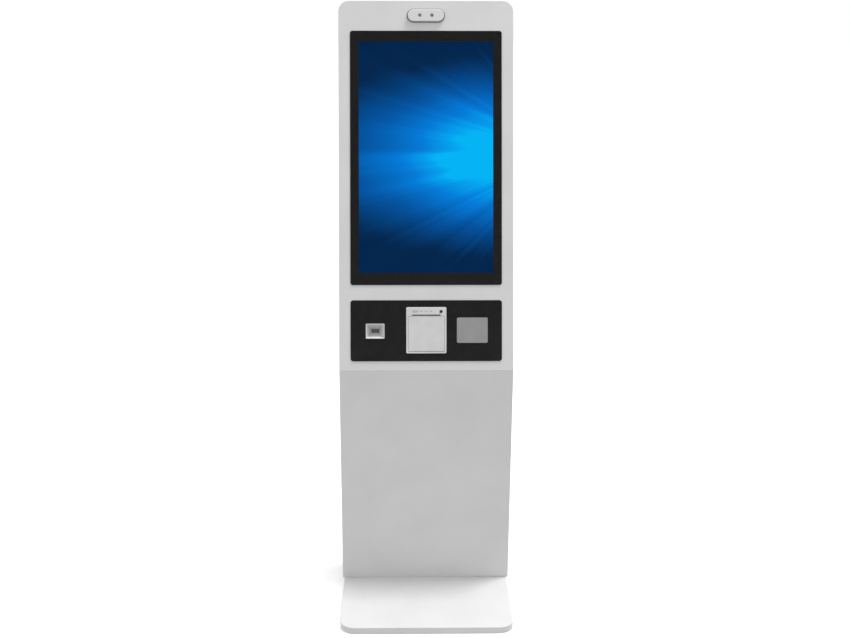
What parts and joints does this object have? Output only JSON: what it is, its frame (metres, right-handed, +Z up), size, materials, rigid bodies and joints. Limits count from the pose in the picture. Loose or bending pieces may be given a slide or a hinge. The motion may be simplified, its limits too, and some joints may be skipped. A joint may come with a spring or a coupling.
{
  "type": "ticket vending machine",
  "caption": "Free-standing self-service ticket kiosk: leaning portrait touch screen over a black panel with code scanner, ticket printer and card reader, on a folded column and base plate.",
  "frame": {"origin": "centre of the bounding box at floor level", "axes": "+Z up; the screen faces -Y; +X is to the right seen from the front"},
  "size_m": [0.52, 0.654, 1.7856],
  "materials": {
    "painted_shell": "fine-textured light grey powder coat",
    "base_paint": "satin light grey powder coat",
    "black_trim": "satin black",
    "zinc_steel": "zinc-plated sheet",
    "ballast_iron": "raw plate",
    "rubber_black": "matt",
    "hinge_steel": "ground",
    "lock_chrome": "polished",
    "touch_surface": "clear, anti-glare",
    "screen_face": "lit picture behind glass",
    "chassis_metal": "plain sheet",
    "printer_plastic": "fine moulded texture",
    "reader_plastic": "satin",
    "dark_plastic": "moulded",
    "hood_plastic": "satin moulded",
    "lens_glass": "dark coated",
    "lamp_plastic": "smoked diffuser",
    "board_green": "solder mask",
    "contact_brass": "plated",
    "ticket_paper": "thermal coated",
    "core_board": "wound",
    "foam_black": "closed-cell foam"
  },
  "bodies": {
    "cabinet": {"base_cover": "base_paint", "base_ballast": "ballast_iron", "floor_pads": "rubber_black", "cable_grommet": "rubber_black", "column_shell": "painted_shell", "column_foot": "zinc_steel", "rear_frame": "zinc_steel", "kick_panel": "painted_shell", "rear_crossbar": "painted_shell", "hinge_frame_leaves": "hinge_steel", "hinge_pins": "hinge_steel", "power_inlet": "dark_plastic", "inlet_blades": "contact_brass", "equipment_shelf": "zinc_steel", "computer_case": "chassis_metal", "power_supply": "zinc_steel", "head_shell": "painted_shell", "head_flange": "zinc_steel", "upper_cover": "painted_shell", "cover_screws": "hinge_steel", "fan_frame": "dark_plastic", "fan_guard": "lock_chrome", "display_bezel": "black_trim", "touch_glass": "touch_surface", "display_gasket": "foam_black", "screen_panel": "screen_face", "screen_chassis": "chassis_metal", "display_bracket_left": "zinc_steel", "display_bracket_right": "zinc_steel", "display_board": "board_green", "accessory_panel": "black_trim", "scanner_hood": "hood_plastic", "scanner_window": "lens_glass", "scanner_engine": "dark_plastic", "printer_front": "printer_plastic", "status_lamps": "lamp_plastic", "flap_pin": "hinge_steel", "printer_body": "dark_plastic", "roll_spindle": "dark_plastic", "print_head": "chassis_metal", "cutter_blade": "hinge_steel", "reader_pad": "reader_plastic", "reader_module": "dark_plastic", "camera_pod": "painted_shell", "camera_lenses": "lens_glass", "camera_module": "board_green"},
    "rear_door": {"rear_door": "painted_shell", "door_stiffener": "zinc_steel", "lock_body": "lock_chrome", "hinge_door_leaves": "hinge_steel"},
    "lock": {"lock_core": "lock_chrome", "lock_cam": "zinc_steel"},
    "printer_flap": {"printer_flap": "printer_plastic"},
    "platen": {"platen_roller": "rubber_black", "platen_shaft": "hinge_steel"},
    "paper": {"roll_core": "core_board", "paper_roll": "ticket_paper"},
    "feed_button": {"feed_button": "dark_plastic"},
    "fan_rotor": {"fan_rotor": "dark_plastic"},
    "power_rocker": {"power_rocker": "dark_plastic"}
  },
  "joints": [
    {"name": "rear_door_hinge", "type": "hinge", "parent": "cabinet", "child": "rear_door", "pos_m": [-0.254, 0.1516, 0.56], "axis": [0, 0, 1], "range_deg": [0, 110]},
    {"name": "lock_turn", "type": "hinge", "parent": "rear_door", "child": "lock", "pos_m": [0.225, 0.146, 0.56], "axis": [0, -1, 0], "range_deg": [0, 90]},
    {"name": "flap_hinge", "type": "hinge", "parent": "cabinet", "child": "printer_flap", "pos_m": [0, -0.04039, 0.78175], "axis": [1, 0, 0], "range_deg": [0, 80]},
    {"name": "platen_spin", "type": "hinge", "parent": "printer_flap", "child": "platen", "pos_m": [0, -0.00076, 0.86088], "axis": [1, 0, 0], "continuous": true},
    {"name": "paper_roll_spin", "type": "hinge", "parent": "cabinet", "child": "paper", "pos_m": [0, 0.0306, 0.79244], "axis": [1, 0, 0], "continuous": true},
    {"name": "feed_button_press", "type": "slide", "parent": "cabinet", "child": "feed_button", "axis": [0, 0.9659, -0.2588], "range_m": [0, 0.0015], "stiffness_N_per_m": 400},
    {"name": "fan_spin", "type": "hinge", "parent": "cabinet", "child": "fan_rotor", "pos_m": [0, 0.29434, 1.67629], "axis": [0, -0.9659, 0.2588], "continuous": true},
    {"name": "power_rocker_tilt", "type": "hinge", "parent": "cabinet", "child": "power_rocker", "pos_m": [0.164, 0.142, 0.044], "axis": [1, 0, 0], "range_deg": [-8, 8]}
  ],
  "couplings": [
    {"joint": "platen_spin", "follows": "paper_roll_spin", "ratio": -4.5}
  ]
}
